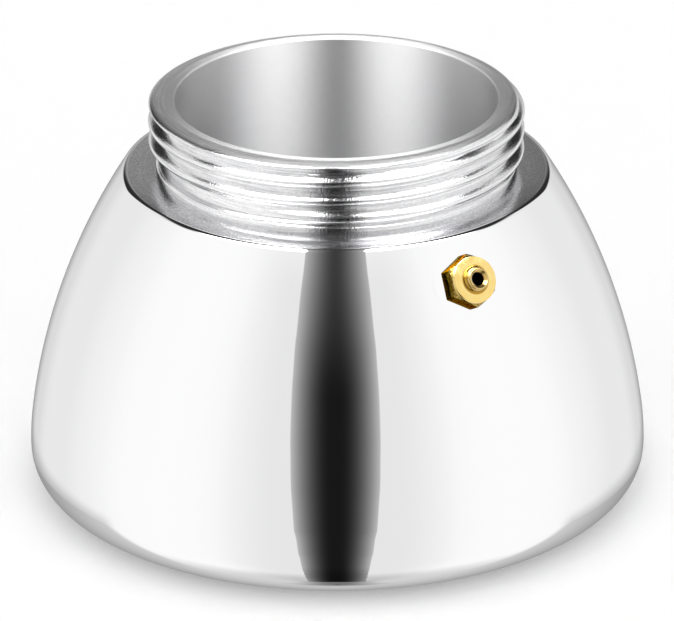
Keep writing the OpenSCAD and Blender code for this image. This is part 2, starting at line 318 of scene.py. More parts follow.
# finishes: roughness, size of the grain and height of its bumps in mm, how much the lathe's
# lines spread a reflection, and (dark, light) colours
finish = {
    "mirrorRough": (0.012, 0.03), "smudgeScale": 60.0,
    "ledgeRough": 0.17, "ledgeGrain": 0.27, "ledgeBump": 0.018, "ledgeSpread": 0.3,
    "ledgeTones": ((0.5, 0.5, 0.51), (0.72, 0.72, 0.73)),
    "turnedRough": 0.1, "turnedGrain": 0.27, "turnedBump": 0.03, "turnedLines": 0.014, "turnedSpread": 0.4,
    "turnedTones": ((0.76, 0.76, 0.77), (0.98, 0.98, 0.985)),
    "lipRough": 0.45, "lipWorn": (0.75, 0.1),     # mm under the rim where wear starts and is full
    "landRough": 0.6, "landGrain": 0.4, "landBump": 0.02, "landSpread": 0.6,
    "landTones": ((0.8, 0.8, 0.8), (0.92, 0.92, 0.92)),
    "insideRough": 0.58, "insideSpread": 0.9,
    "satinBump": 0.012, "satinSpread": 0.6,
    "plainGrain": 0.4, "plainBump": 0.004,
    "fibreGrain": 0.25, "rubberGrain": 0.8, "softBump": 0.01,
    # near-black tones of painted shade, for the valve's bore and the poppet's stem end
    "shadeBlackGrain": 0.25, "shadeBlackTones": ((0.003, 0.0025, 0.002), (0.009, 0.007, 0.005)),
    "brassRough": (0.14, 0.28), "brassRings": 0.012, "brassTones": ((0.96, 0.67, 0.2), (1.0, 0.8, 0.33)),
    # darker tones of painted shade, for the groove round the valve's boss and for the boss's side
    "grooveShadeTones": ((0.4, 0.2, 0.02), (0.62, 0.38, 0.07)), "bossSideShade": (0.74, 0.52, 0.18),
    # the corner cuts' dark tones are painted shade
    "cornerShadeTones": ((0.2, 0.13, 0.02), (0.62, 0.44, 0.13)),
    # the flats' dark tones are painted shade, standing for the dark surroundings they reflect
    "drawnRough": (0.08, 0.18), "drawnBump": 0.015, "flatShadeTones": ((0.07, 0.035, 0.004), (0.24, 0.165, 0.04)),
    "drawnGlance": (0.42, 0.31, 0.09),
}


def objectPoint(shader):
    return output(addNode(shader.id_data, "ShaderNodeTexCoord"), "Object")


def noise(vector, scale, detail=2.0, rough=0.5):
    return output(addNode(vector.tree, "ShaderNodeTexNoise", Vector=vector, Scale=scale, Detail=detail,
                          Roughness=rough), "Fac")


def grainNoise(shader, size, detail=2.0, rough=0.5):
    return noise(objectPoint(shader), 1 / (size * mm), detail, rough)


def latheNoise(shader, across, along, detail=3.0, rough=0.5):
    # noise drawn out round the pot: across it wavers more to the mm than along its lines
    x, y, z = split(objectPoint(shader))
    radius, angle = calc("SQRT", x * x + y * y), calc("ARCTAN2", y, x)
    stretched = combine(radius * (across / mm), z * (across / mm), calc("SINE", angle) * along)
    return noise(stretched, 1.0, detail, rough)


def bump(shader, height, distance):
    node = addNode(shader.id_data, "ShaderNodeBump", Height=height, Distance=distance * mm)
    setInputs(shader, Normal=output(node))


def spread(shader, amount):
    # the lines of the lathe run round the pot, so a reflection spreads up and down
    node = shader.id_data.nodes.new("ShaderNodeTangent")
    node.direction_type = "RADIAL"
    node.axis = "Z"
    setInputs(shader, Tangent=output(node), Anisotropic=amount, Anisotropic_Rotation=0.25)


def tint(factor, dark, light):
    node = factor.tree.nodes.new("ShaderNodeMix")
    node.data_type = "RGBA"
    feed(node.inputs[0], factor)
    for socket, colour in ((node.inputs[6], dark), (node.inputs[7], light)):
        feed(socket, (*colour, 1) if isinstance(colour, tuple) else colour)
    return output(node, 2)


def uneven(value, low, high):
    # a roughness that wanders between low and high with a noise
    return ease(value, 0.3, 0.7, low, high)


def mirrorSteel():
    material, shader = newMaterial("mirrorSteel", (0.975, 0.975, 0.98), 0.02)
    smudge = noise(objectPoint(shader), finish["smudgeScale"], 3.0)
    setInputs(shader, Roughness=ease(smudge, 0.45, 0.8, *finish["mirrorRough"], smooth=False))
    return material


def ledgeSteel():
    material, shader = newMaterial("ledgeSteel", finish["ledgeTones"][1], finish["ledgeRough"])
    grain = grainNoise(shader, finish["ledgeGrain"])
    rings = latheNoise(shader, across=5.0, along=3.0)
    bump(shader, grain + rings * 0.6, finish["ledgeBump"])
    spread(shader, finish["ledgeSpread"])
    speck = ease(grain * 0.8 + rings * 0.2, 0.38, 0.62)
    setInputs(shader, Base_Color=tint(speck, *finish["ledgeTones"]))
    return material


def turnedSteel():
    material, shader = newMaterial("turnedSteel", (0.96, 0.96, 0.965), finish["turnedRough"])
    spread(shader, finish["turnedSpread"])
    lines = latheNoise(shader, across=4.0, along=5.0, detail=4.0, rough=0.6)
    grain = grainNoise(shader, finish["turnedGrain"])
    bump(shader, lines + grain * (finish["turnedBump"] / finish["turnedLines"]), finish["turnedLines"])
    # the lip is worn dull
    starts, full = finish["lipWorn"]
    height = split(objectPoint(shader))[2]
    worn = ease(height, (rimZ - starts) * mm, (rimZ - full) * mm, finish["turnedRough"], finish["lipRough"])
    speck = ease(grain * 0.30 + lines * 0.70, 0.38, 0.60)
    setInputs(shader, Roughness=worn, Base_Color=tint(speck, *finish["turnedTones"]))
    return material


def landSteel():
    material, shader = newMaterial("landSteel", (0.86, 0.86, 0.86), finish["landRough"])
    spread(shader, finish["landSpread"])
    grain = grainNoise(shader, finish["landGrain"])
    bump(shader, latheNoise(shader, across=7.0, along=2.0) + grain * 0.5, finish["landBump"])
    setInputs(shader, Base_Color=tint(grain, *finish["landTones"]))
    return material


def insideSteel():
    rough = finish["insideRough"]
    material, shader = newMaterial("insideSteel", (0.78, 0.78, 0.785), rough)
    spread(shader, finish["insideSpread"])
    lines = latheNoise(shader, across=0.6, along=60.0)
    setInputs(shader, Roughness=uneven(lines, rough - 0.03, rough + 0.03))
    return material


def satinSteel(name, colour, rough):
    material, shader = newMaterial(name, colour, rough)
    spread(shader, finish["satinSpread"])
    rings = latheNoise(shader, across=4.0, along=1.5, detail=4.0, rough=0.6)
    bump(shader, rings, finish["satinBump"])
    setInputs(shader, Roughness=uneven(rings, rough - 0.05, rough + 0.05))
    return material


def plainMetal(name, colour, rough):
    material, shader = newMaterial(name, colour, rough)
    grain = grainNoise(shader, finish["plainGrain"], 3.0)
    bump(shader, grain, finish["plainBump"])
    setInputs(shader, Roughness=uneven(grain, rough - 0.04, rough + 0.06))
    return material


def softMaterial(name, dark, light, rough, grainSize):
    material, shader = newMaterial(name, light, rough, metallic=0.0)
    grain = grainNoise(shader, grainSize, 4.0, 0.6)
    setInputs(shader, Base_Color=tint(grain, dark, light))
    bump(shader, grain, finish["softBump"])
    return material


# near black that is painted shade, for the inside of the valve's bore and the end of the poppet's stem
def shadeBlackMetal():
    material, shader = newMaterial("shadeBlackMetal", (0.006, 0.005, 0.004), 0.9, metallic=0.0)
    grain = grainNoise(shader, finish["shadeBlackGrain"], 3.0)
    setInputs(shader, Specular_IOR_Level=0.0, Base_Color=tint(grain, *finish["shadeBlackTones"]))
    return material


def valvePoint(shader):
    # object coordinates turned into the valve's own frame, in mm
    node = shader.id_data.nodes.new("ShaderNodeMapping")
    node.vector_type = "TEXTURE"
    setInputs(node, Vector=objectPoint(shader), Location=valveAt * mm, Rotation=valveFrame.to_euler(),
              Scale=(mm, mm, mm))
    return output(node)


def turnedBrass():
    material, shader = newMaterial("turnedBrass", (1.0, 0.76, 0.27), 0.20)
    spot = valvePoint(shader)
    p, q, u = split(spot)
    radius = calc("SQRT", p * p + q * q)
    rings = noise(combine(radius * 5.0, u * 5.0), 1.0, 3.0, 0.6)
    patches = noise(spot, 0.7, 3.0, 0.6)
    face = tint(ease(rings * 0.7 + patches * 0.3, 0.38, 0.62), *finish["brassTones"])
    # painted shade: a darker colour in the groove round the boss and on the boss's side
    grooveShade = tint(ease(rings, 0.35, 0.65), *finish["grooveShadeTones"])
    boss = tint(ease(u, valve["hexH"] + 0.5, valve["hexH"] + 1.3), grooveShade, finish["bossSideShade"])
    reach = valve["bossR"] + valve["fillet"]
    face = tint(ease(radius, reach - 0.1, reach + 0.12), boss, face)
    # the corners' cuts get a darker colour, painted shade as on the flats
    corners = tint(ease(noise(spot, 2.4, 3.0), 0.35, 0.65), *finish["cornerShadeTones"])
    land = valve["hexH"] - valve["faceLand"]
    bump(shader, rings + patches * 0.5, finish["brassRings"])
    setInputs(shader, Base_Color=tint(ease(u, land - 0.15, land + 0.02), corners, face),
              Roughness=uneven(patches, *finish["brassRough"]))
    return material


def shadedFlatBrass():
    # flats of the bar that the valve is turned from, in a dark brown that is painted shade: it stands for the
    # dark surroundings they reflect
    material, shader = newMaterial("shadedFlatBrass", (0.16, 0.10, 0.02), 0.14)
    patches = noise(valvePoint(shader), 2.4, 4.0, 0.65)
    bump(shader, patches, finish["drawnBump"])
    setInputs(shader, Base_Color=tint(ease(patches, 0.35, 0.65), *finish["flatShadeTones"]),
              Roughness=uneven(patches, *finish["drawnRough"]), Specular_Tint=(*finish["drawnGlance"], 1))
    return material


# sizes that the pieces share, in mm, as the solids have them
neck = {
    "boreR": 30.0, "wall": 3.2, "rise": 13.9, "landW": 1.75, "boreChamfer": 0.3,
    "lipOver": 0.65, "lipH": 1.2, "footStep": 0.4, "footH": 1.4, "footSlopeH": 0.3,
    "flangeW": 2.4, "flangeT": 1.5, "skirtL": 8.6, "skirtWall": 1.6,
}
side = {
    "ledgeW": 5.3, "ledgeZ": 62.3, "ledgeRoundR": 1.4, "topR": 119.0, "lowR": 50.0,
    "midLean": 8.0, "footRoundR": 7.4, "wall": 1.0, "footRingW": 3.6,
}
# valve, in its own frame: u runs out along its axis from the steel, radii are about that axis
valve = {
    "drop": 7.6,             # of its axis under the ledge
    "hexAf": 8.7, "hexTurn": 27.0, "hexH": 4.0, "faceStep": 0.1, "faceLand": 0.5, "cornerSlope": 50.0,
    "cornerCut": 0.05, "seatU": -0.3, "shankR": 3.9, "shankEnd": -8.1, "chamberR": 2.6, "roof": 2.0,
    "ventR": 1.2, "sinkR": 1.7, "sinkDepth": 0.5, "bossR": 2.1, "bossH": 1.4, "fillet": 0.6,
    "tipR": 0.32, "threadRow": 0.5, "threadDepth": 0.12, "threadRun": 0.3, "endCut": 0.15, "edge": 0.03,
    "sharp": 24.0,
}


def onArc(centre, radius, angle):
    # the angle is the direction of travel: 0 outwards, 90 upwards
    turn = radians(angle)
    return centre[0] + radius * sin(turn), centre[1] - radius * cos(turn)


def cornerRadius(flats):
    return flats / 2 / cos(radians(30))


rootR = neck["boreR"] + neck["wall"]
landR = neck["boreR"] + neck["landW"]
lipW = rootR + neck["lipOver"] - landR
neckFootR = rootR + neck["footStep"]
rimZ = side["ledgeZ"] + neck["rise"]
lipZ = rimZ - neck["lipH"]
ledgeUnderZ = side["ledgeZ"] - side["wall"]

midA = 90 + side["midLean"]
topCentreZ = side["footRoundR"] - (side["lowR"] - side["topR"]) * cos(radians(midA))
ledgeC = (neckFootR + side["ledgeW"], side["ledgeZ"] - side["ledgeRoundR"])
topA = degrees(acos((topCentreZ - ledgeC[1]) / (side["topR"] - side["ledgeRoundR"])))
topC = onArc(ledgeC, side["ledgeRoundR"] - side["topR"], topA)
lowC = onArc(topC, side["topR"] - side["lowR"], midA)
footC = (lowC[0] + side["lowR"] - side["footRoundR"], side["footRoundR"])
capR = footC[0] - side["footRingW"]

valveZ = side["ledgeZ"] - valve["drop"]
valveA = degrees(acos((topC[1] - valveZ) / side["topR"]))
valveP = onArc(topC, side["topR"], valveA)
valveOut = Vector((0, -sin(radians(valveA)), -cos(radians(valveA))))
valveAt = Vector((0, -valveP[0], valveP[1]))
valveRight = Vector((1, 0, 0))
valveUp = valveOut.cross(valveRight)
valveFrame = Matrix((valveRight, valveUp, valveOut)).transposed()
valveMatrix = Matrix.Translation(valveAt * mm) @ valveFrame.to_4x4()


def valveSpot(p, q, u):
    return valveAt + valveRight * p + valveUp * q + valveOut * u


steelMirror, steelLedge, steelTurned = mirrorSteel(), ledgeSteel(), turnedSteel()
steelLand, steelInside = landSteel(), insideSteel()
steelFloor = satinSteel("satinFloor", (0.74, 0.74, 0.745), 0.30)
steelCap = satinSteel("satinCap", (0.70, 0.70, 0.71), 0.34)
aluminium = plainMetal("pressedAluminium", (0.80, 0.81, 0.83), 0.38)
brassInner = plainMetal("damBrass", (0.80, 0.58, 0.24), 0.28)
steelPoppet = plainMetal("poppetSteel", (0.70, 0.70, 0.71), 0.22)
steelSpring = plainMetal("springWire", (0.66, 0.66, 0.68), 0.24)
brassTurned, brassShadedFlats, shadeBlack = turnedBrass(), shadedFlatBrass(), shadeBlackMetal()
fibre = softMaterial("fibreWasher", (0.52, 0.49, 0.43), (0.74, 0.71, 0.64), 0.75, finish["fibreGrain"])
silicone = softMaterial("redSilicone", (0.50, 0.05, 0.03), (0.66, 0.09, 0.06), 0.45, finish["rubberGrain"])
print("materials made")


def standsFor(thing, body, node, slot):
    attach(thing, body)
    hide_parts(node)


# boiler shell: its outline is spun round, and in a window the flat for the valve is pressed in
shell = {
    "around": 240, "steps": {"Foot": 16, "Low": 8, "Top": 28, "Round": 8, "Roll": 6},
    "ledgeRoll": 4.8,        # mm over which the ledge slopes down
    "ledgeTilt": 8.0,        # degrees that it then looks tilted by
    "ledgeDrop": 0.15,       # mm that it goes down
    "windowHalf": 7.5,       # mm to each side of the valve
    "windowTurn": 4.2,       # degrees of the long curve above and below it
    "seatDepth": 0.3, "seatMargin": 0.1, "seatFade": 1.5, "seatRows": 12, "holeGap": 0.1,
    "seatGap": 0.02, "searchU": (-4.0, 2.0), "searchSteps": 40, "normalStep": 0.02,
}
seatR = cornerRadius(valve["hexAf"]) + shell["seatMargin"]
mirrorFace, ledgeFace, insideFace = 0, 1, 2


def arcRows(centre, radius, start, end, steps, sign):
    # rows are radius, height and the normal's radius and height
    rows = []
    for i in range(steps + 1):
        angle = start + (end - start) * i / steps
        turn = radians(angle)
        rows.append((*onArc(centre, radius, angle), sign * sin(turn), -sign * cos(turn)))
    return rows


def rolledEdge(rows):
    # the ledge slopes down a little towards its round, which drops with it
    tilt, width, drop = radians(shell["ledgeTilt"]), shell["ledgeRoll"], shell["ledgeDrop"]
    count, lowered = len(rows) - 1, []
    for i, (r, z, _, _) in enumerate(rows):
        turn = radians(180 - topA) * (1 - i / count) + tilt * (i / count)
        lowered.append((r, z - drop * i / count, sin(turn), cos(turn)))
    ledge = []
    for k in range(shell["steps"]["Roll"] + 1):
        t = 1 - k / shell["steps"]["Roll"]
        ledge.append((ledgeC[0] - width * (1 - t), side["ledgeZ"] - drop * t * t,
                      sin(tilt * t), cos(tilt * t)))
    ledge.append((neckFootR, side["ledgeZ"], 0, 1))
    return [("outerRound", lowered), ("outerLedge", ledge)]


def shellSections():
    wall, ledgeZ = side["wall"], side["ledgeZ"]
    sections = [("foot", [(capR, 0, 0, -1), (footC[0], 0, 0, -1)])]
    arcs = (("Foot", footC, side["footRoundR"], 0, 90), ("Low", lowC, side["lowR"], 90, midA),
            ("Top", topC, side["topR"], midA, topA), ("Round", ledgeC, side["ledgeRoundR"], topA, 180))
    for name, offset, sign in (("outer", 0.0, 1), ("inner", wall, -1)):
        chain = [(name + part, arcRows(centre, radius - offset, start, end, shell["steps"][part], sign))
                 for part, centre, radius, start, end in arcs]
        if sign > 0:
            sections += chain[:3] + rolledEdge(chain[3][1])
            sections.append(("hole", [(neckFootR, ledgeZ, -1, 0), (neckFootR, ledgeZ - wall, -1, 0)]))
        else:
            ledge = [(ledgeC[0], ledgeZ - wall, 0, -1), (neckFootR, ledgeZ - wall, 0, -1)]
            chain.append(("innerLedge", ledge))
            sections += [(part, rows[::-1]) for part, rows in chain[::-1]]
    sections.append(("footTop", [(footC[0], wall, 0, 1), (capR, wall, 0, 1)]))
    sections.append(("footEdge", [(capR, wall, -1, 0), (capR, 0, -1, 0)]))
    return sections


def addFace(shape, corners, kind):
    # corners are (vertex, normal) pairs
    shape["faces"].append([vertex for vertex, _ in corners])
    shape["normals"] += [normal for _, normal in corners]
    shape["kinds"].append(kind)


def spunCorner(shape, row, j):
    r, z, outward, upward = row
    j %= shell["around"]
    turn = radians(-90 + 360 * j / shell["around"])
    key = (round(r, 5), round(z, 5), j)
    if key not in shape["spun"]:
        shape["spun"][key] = len(shape["points"])
        shape["points"].append((r * cos(turn), r * sin(turn), z))
    return shape["spun"][key], (outward * cos(turn), outward * sin(turn), upward)


def windowRows(part, steps):
    # the first and last row of the window, on the long curve outside or inside
    if part not in ("outerTop", "innerTop"):
        return 0, 0
    up = range(steps + 1) if part == "outerTop" else range(steps, -1, -1)
    turns = [midA + (topA - midA) * k / steps for k in up]
    near = [i for i, turn in enumerate(turns) if abs(turn - valveA) < shell["windowTurn"]]
    return near[0], near[-1]


def spinSection(shape, part, rows, half):
    # gives back the window's edge, where the section has one
    kind = ledgeFace if part == "outerLedge" else insideFace if part.startswith("inner") else mirrorFace
    low, high = windowRows(part, len(rows) - 1)
    for i in range(len(rows) - 1):
        for j in range(shell["around"]):
            if low <= i < high and (j + half) % shell["around"] < 2 * half:
                continue
            # rows run with the solid on their left, so this order faces out
            places = ((i, j), (i, j + 1), (i + 1, j + 1), (i + 1, j))
            addFace(shape, [spunCorner(shape, rows[a], b) for a, b in places], kind)
    edge = [(low, j) for j in range(-half, half)] + [(i, half) for i in range(low, high)]
    edge += [(high, j) for j in range(half, -half, -1)] + [(i, -half) for i in range(high, low, -1)]
    return [spunCorner(shape, rows[i], j) for i, j in edge] if high else None


def surfaceU(p, q, offset):
    # height, along the valve's axis, of the shell's face over (p, q) of the valve's plane
    low, high = shell["searchU"]
    for _ in range(shell["searchSteps"]):
        mid = (low + high) / 2
        point = valveSpot(p, q, mid)
        radius, reach = hypot(point.x, point.y), side["topR"] - offset
        inside = hypot(radius - topC[0], point.z - topC[1]) < reach
        low, high = (mid, high) if inside else (low, mid)
    return (low + high) / 2


def seatPoint(p, q, offset):
    # point of that face with the flat pressed in; the offset is 0 outside and the wall inside
    t = min(1, max(0, (seatR + shell["seatFade"] - hypot(p, q)) / shell["seatFade"]))
    t = t * t * (3 - 2 * t)
    u = (1 - t) * surfaceU(p, q, offset) + t * (-shell["seatDepth"] - offset)
    return valveSpot(p, q, u)


def seatNormal(p, q, offset):
    away = shell["normalStep"]
    across = seatPoint(p + away, q, offset) - seatPoint(p - away, q, offset)
    along = seatPoint(p, q + away, offset) - seatPoint(p, q - away, offset)
    return across.cross(along).normalized() * (1 if offset == 0 else -1)


def pressSeat(shape, edge, offset):
    # rings from the window's edge to the valve's hole; gives back the last one and its angles
    fade, count = shell["seatFade"], len(edge)
    angles = []
    for vertex, _ in edge:
        local = Vector(shape["points"][vertex]) - valveAt
        angles.append(atan2(local.dot(valveUp), local.dot(valveRight)))
    radii = [seatR + fade + shell["seatGap"]]
    radii += [seatR + fade * (1 - k / shell["seatRows"]) for k in range(1, shell["seatRows"] + 1)]
    for radius in radii + [valve["shankR"] + shell["holeGap"]]:
        ring = []
        for angle in angles:
            p, q = radius * cos(angle), radius * sin(angle)
            ring.append((len(shape["points"]), tuple(seatNormal(p, q, offset))))
            shape["points"].append(tuple(seatPoint(p, q, offset)))
        for k in range(count):
            l = (k + 1) % count
            addFace(shape, (edge[k], edge[l], ring[l], ring[k]), mirrorFace if offset == 0 else insideFace)
        edge = ring
    return edge, angles


def lineHole(shape, outer, inner):
    # the hole's wall, between the edges of its two faces
    (outerEdge, outerAngles), (innerEdge, innerAngles) = outer, inner
    count = len(outerEdge)
    start = min(range(count), key=lambda k: abs(remainder(innerAngles[k] - outerAngles[0], 2 * pi)))
    for k in range(count):
        corners = []
        for vertex, _ in (outerEdge[k], outerEdge[(k + 1) % count],
                          innerEdge[(start - k - 1) % count], innerEdge[(start - k) % count]):
            local = Vector(shape["points"][vertex]) - valveAt
            corners.append((vertex, tuple(-(local - valveOut * local.dot(valveOut)).normalized())))
        addFace(shape, corners, insideFace)


def makeShell():
    shape = {"points": [], "faces": [], "normals": [], "kinds": [], "spun": {}}
    half = round(shell["windowHalf"] / (valveP[0] * 2 * pi / shell["around"]))
    edges = {part: spinSection(shape, part, rows, half) for part, rows in shellSections()}
    outer = pressSeat(shape, edges["outerTop"], 0.0)
    inner = pressSeat(shape, edges["innerTop"], side["wall"])
    lineHole(shape, outer, inner)
    points = [tuple(Vector(p) * mm) for p in shape["points"]]
    thing = newPiece("boilerShell", points, (), shape["faces"], (steelMirror, steelLedge, steelInside))
    mesh = thing.data
    mesh.polygons.foreach_set("material_index", shape["kinds"])
    mesh.polygons.foreach_set("use_smooth", [True] * len(shape["faces"]))
    mesh.normals_split_custom_set(shape["normals"])
    mesh.update()
    standsFor(thing, "boiler", "boiler_shell", "polished_steel")


makeShell()
print("boiler shell made")


def newTree(name, inputs):
    # a tree of geometry nodes whose named inputs are sizes in mm
    tree = bpy.data.node_groups.new(name, "GeometryNodeTree")
    tree.is_modifier = True
    tree.interface.new_socket("Geometry", in_out="INPUT", socket_type="NodeSocketGeometry")
    for label in inputs:
        tree.interface.new_socket(label, in_out="INPUT", socket_type="NodeSocketFloat")
    tree.interface.new_socket("Geometry", in_out="OUTPUT", socket_type="NodeSocketGeometry")
    group = tree.nodes.new("NodeGroupInput")
    return tree, {label: output(group, label) for label in ["Geometry", *inputs]}


def step(tree, kind, **inputs):
    return output(addNode(tree, "GeometryNode" + kind, **inputs))


def moveRound(tree, geometry, radius, turns, height):
    angle = turns * (2 * pi)
    spot = combine(radius * calc("COSINE", angle), radius * calc("SINE", angle), height)
    return step(tree, "SetPosition", Geometry=geometry, Position=spot)


def finishTree(tree, geometry, finishes):
    # finishes are (faces chosen, material) pairs, and a later one covers those before it
    geometry = step(tree, "SetShadeSmooth", Geometry=geometry)
    geometry = step(tree, "RealizeInstances", Geometry=geometry)
    for chosen, material in finishes:
        geometry = step(tree, "SetMaterial", Geometry=geometry, Selection=chosen, Material=material)
    addNode(tree, "NodeGroupOutput", Geometry=geometry)


def bake(thing, tree, inputs, stands, sharp, matrix=Matrix()):
    # runs the tree on the object and keeps the result as its plain mesh
    modifier = thing.modifiers.new(tree.name, "NODES")
    modifier.node_group = tree
    for item in tree.interface.items_tree:
        if item.item_type == "SOCKET" and item.in_out == "INPUT" and item.name in inputs:
            modifier[item.identifier] = float(inputs[item.name])
    bpy.context.view_layer.update()
    evaluated = thing.evaluated_get(bpy.context.evaluated_depsgraph_get())
    thing.data = bpy.data.meshes.new_from_object(evaluated)
    thing.modifiers.remove(modifier)
    box = bmesh.new()
    box.from_mesh(thing.data)
    finishPiece(thing, box, stands, sharp, matrix)


def finishPiece(thing, box, stands, sharp, matrix):
    # closes the seams and faces it outwards, then brings it from mm to its place in metres
    bmesh.ops.remove_doubles(box, verts=box.verts, dist=0.0005)
    bmesh.ops.recalc_face_normals(box, faces=box.faces)
    mesh = thing.data
    box.to_mesh(mesh)
    box.free()
    mesh.transform(Matrix.Scale(mm, 4))
    mesh.transform(matrix)
    mesh.set_sharp_from_angle(angle=radians(sharp))
    standsFor(thing, *stands)


# neck collar: the nodes spin its outline round and raise the thread on its outer wall
thread = {
    "Around": 480, "Root Radius": rootR, "Thread Depth": 1.7, "Pitch": 3.6, "Ridge Width": 3.3,
    "Ridge Power": 1.3, "Crest Drop": 3.1, "Start Turn": -0.25, "Turns Below": 2.0, "Run In": 90.0,
    "Rim Height": rimZ, "Land Radius": landR, "Lip Width": lipW, "Lip Height": neck["lipH"],
    "Bore Radius": neck["boreR"], "Foot Top": side["ledgeZ"] + neck["footH"],
}
collar = {"wallRow": 0.13, "lipRows": 18, "soft": 0.05, "near": 0.02, "boreEdge": 0.15, "sharp": 38.0}


def collarOutline():
    boreR, skirtR, soft = neck["boreR"], neck["boreR"] + neck["skirtWall"], collar["soft"]
    flangeR, flangeZ = neckFootR + neck["flangeW"], ledgeUnderZ - neck["flangeT"]
    footZ, skirtZ = side["ledgeZ"] + neck["footH"], flangeZ - neck["skirtL"]
    rows = [(boreR, skirtZ), (skirtR, skirtZ), (skirtR, flangeZ), (flangeR, flangeZ), (flangeR, ledgeUnderZ),
            (neckFootR, ledgeUnderZ), (neckFootR, side["ledgeZ"] + collar["near"]),
            (neckFootR, footZ - 2 * soft), (neckFootR - soft, footZ)]
    lipEnd = -degrees(acos((rootR - landR) / lipW))
    lipLow = lipZ + neck["lipH"] * sin(radians(lipEnd))
    start = footZ + neck["footSlopeH"]
    count = round((lipLow - start) / collar["wallRow"])
    rows += [(rootR, start + (lipLow - start) * i / count) for i in range(count)]
    for i in range(collar["lipRows"] + 1):
        turn = radians(lipEnd + (90 - lipEnd) * i / collar["lipRows"])
        rows.append((landR + lipW * cos(turn), lipZ + neck["lipH"] * sin(turn)))
    chamferR, chamferZ = boreR + neck["boreChamfer"], rimZ - neck["boreChamfer"]
    return rows + [(chamferR + soft, rimZ), (chamferR - soft, rimZ - 0.03),
                   (boreR + 0.03, chamferZ + soft), (boreR, chamferZ - soft)]


def threadedRadius(given, turn, radius, height):
    # turns of thread at which the crest passes this height, and the nearest one at this angle
    pitch, depth, width = given["Pitch"], given["Thread Depth"], given["Ridge Width"]
    here = (height - (given["Rim Height"] - given["Crest Drop"])) / pitch + given["Start Turn"]
    whole = turn + calc("ROUND", here - turn)
    across = calc("MINIMUM", calc("ABSOLUTE", (here - whole) * pitch) * 2 / width, 1)
    wave = calc("POWER", calc("COSINE", across * (pi / 2)), given["Ridge Power"])
    runIn = given["Run In"] / 360
    first = given["Start Turn"] - given["Turns Below"] - runIn
    last = given["Start Turn"] + (given["Crest Drop"] + width / 3) / pitch
    fadeIn = calc("DIVIDE", whole - first, runIn, clamp=True)
    fadeOut = calc("DIVIDE", last - whole, runIn, clamp=True)
    share = wave * calc("MINIMUM", fadeIn, fadeOut)
    ridge = given["Root Radius"] + depth * share

    # the ridge ends at a lip that widens with it
    overLip = height - (given["Rim Height"] - given["Lip Height"])
    over = calc("MAXIMUM", overLip, 0) / given["Lip Height"]
    curve = calc("SQRT", calc("MAXIMUM", 1 - over * over, 0))
    spare = given["Root Radius"] + depth - (given["Land Radius"] + given["Lip Width"])
    limit = given["Land Radius"] + (given["Lip Width"] + spare * share) * curve
    raised = calc("MAXIMUM", radius, calc("MINIMUM", ridge, limit))
    outside = calc("GREATER_THAN", radius, given["Land Radius"] + 0.01)
    return blend(calc("GREATER_THAN", height, given["Foot Top"]) * outside, radius, raised)


def collarFinishes(given, position):
    # turned outside, smooth inside and under the ledge, ground land
    x, y, z = split(position)
    reach, near = calc("SQRT", x * x + y * y), collar["near"]
    isInside = calc("LESS_THAN", reach, given["Bore Radius"] + collar["boreEdge"])
    isLow = calc("LESS_THAN", z, side["ledgeZ"] - side["wall"] / 2)
    isHigh = calc("GREATER_THAN", z, given["Rim Height"] - (neck["boreChamfer"] + near))
    isLand = isHigh * calc("LESS_THAN", reach, given["Land Radius"] + near)
    return [(True, steelTurned), (isInside, steelInside), (isLow, steelInside), (isLand, steelLand)]


def makeCollar():
    rows = collarOutline()
    edges = [(i, (i + 1) % len(rows)) for i in range(len(rows))]
    thing = newPiece("neckCollar", [(r, 0, z) for r, z in rows], edges)
    tree, given = newTree("rolledThread", list(thread))
    points = step(tree, "AttributeDomainSize", Geometry=given["Geometry"])
    columns = points + 1
    grid = step(tree, "MeshGrid", Vertices_X=given["Around"] + 1, Vertices_Y=columns)
    index = step(tree, "InputIndex")
    ring = calc("FLOOR", (index + 0.5) / columns)
    position = step(tree, "InputPosition")
    sample = tree.nodes.new("GeometryNodeSampleIndex")
    sample.data_type = "FLOAT_VECTOR"
    row = calc("MODULO", index - ring * columns, points)
    setInputs(sample, Geometry=given["Geometry"], Value=position, Index=row)
    radius, _, height = split(output(sample, "Value"))
    turn = ring / given["Around"]
    moved = moveRound(tree, grid, threadedRadius(given, turn, radius, height), turn, height)
    closed = step(tree, "MergeByDistance", Geometry=moved, Distance=0.001)
    finishTree(tree, closed, collarFinishes(given, position))
    bake(thing, tree, thread, ("boiler", "neck_collar", "turned_steel"), collar["sharp"])


makeCollar()
print("neck collar made")


def hexRadius(angle, flats, cornerR, turn):
    inside = (degrees(angle) - turn) % 60 - 30
    return min(flats / 2 / cos(radians(inside)), cornerR)


def hexAngles(flats, cornerR, turn, cornerSteps=4, flatSteps=12):
    # steps round each cut corner, then along each flat
    cut = 30 - degrees(acos(flats / 2 / cornerR))
    angles = []
    for k in range(6):
        middle = turn + 60 * k
        angles += [middle - cut + 2 * cut * i / cornerSteps for i in range(cornerSteps)]
        angles += [middle + cut + (60 - 2 * cut) * i / flatSteps for i in range(flatSteps)]
    return [radians(a) for a in angles]


def evenAngles(count):
    return [2 * pi * i / count for i in range(count)]


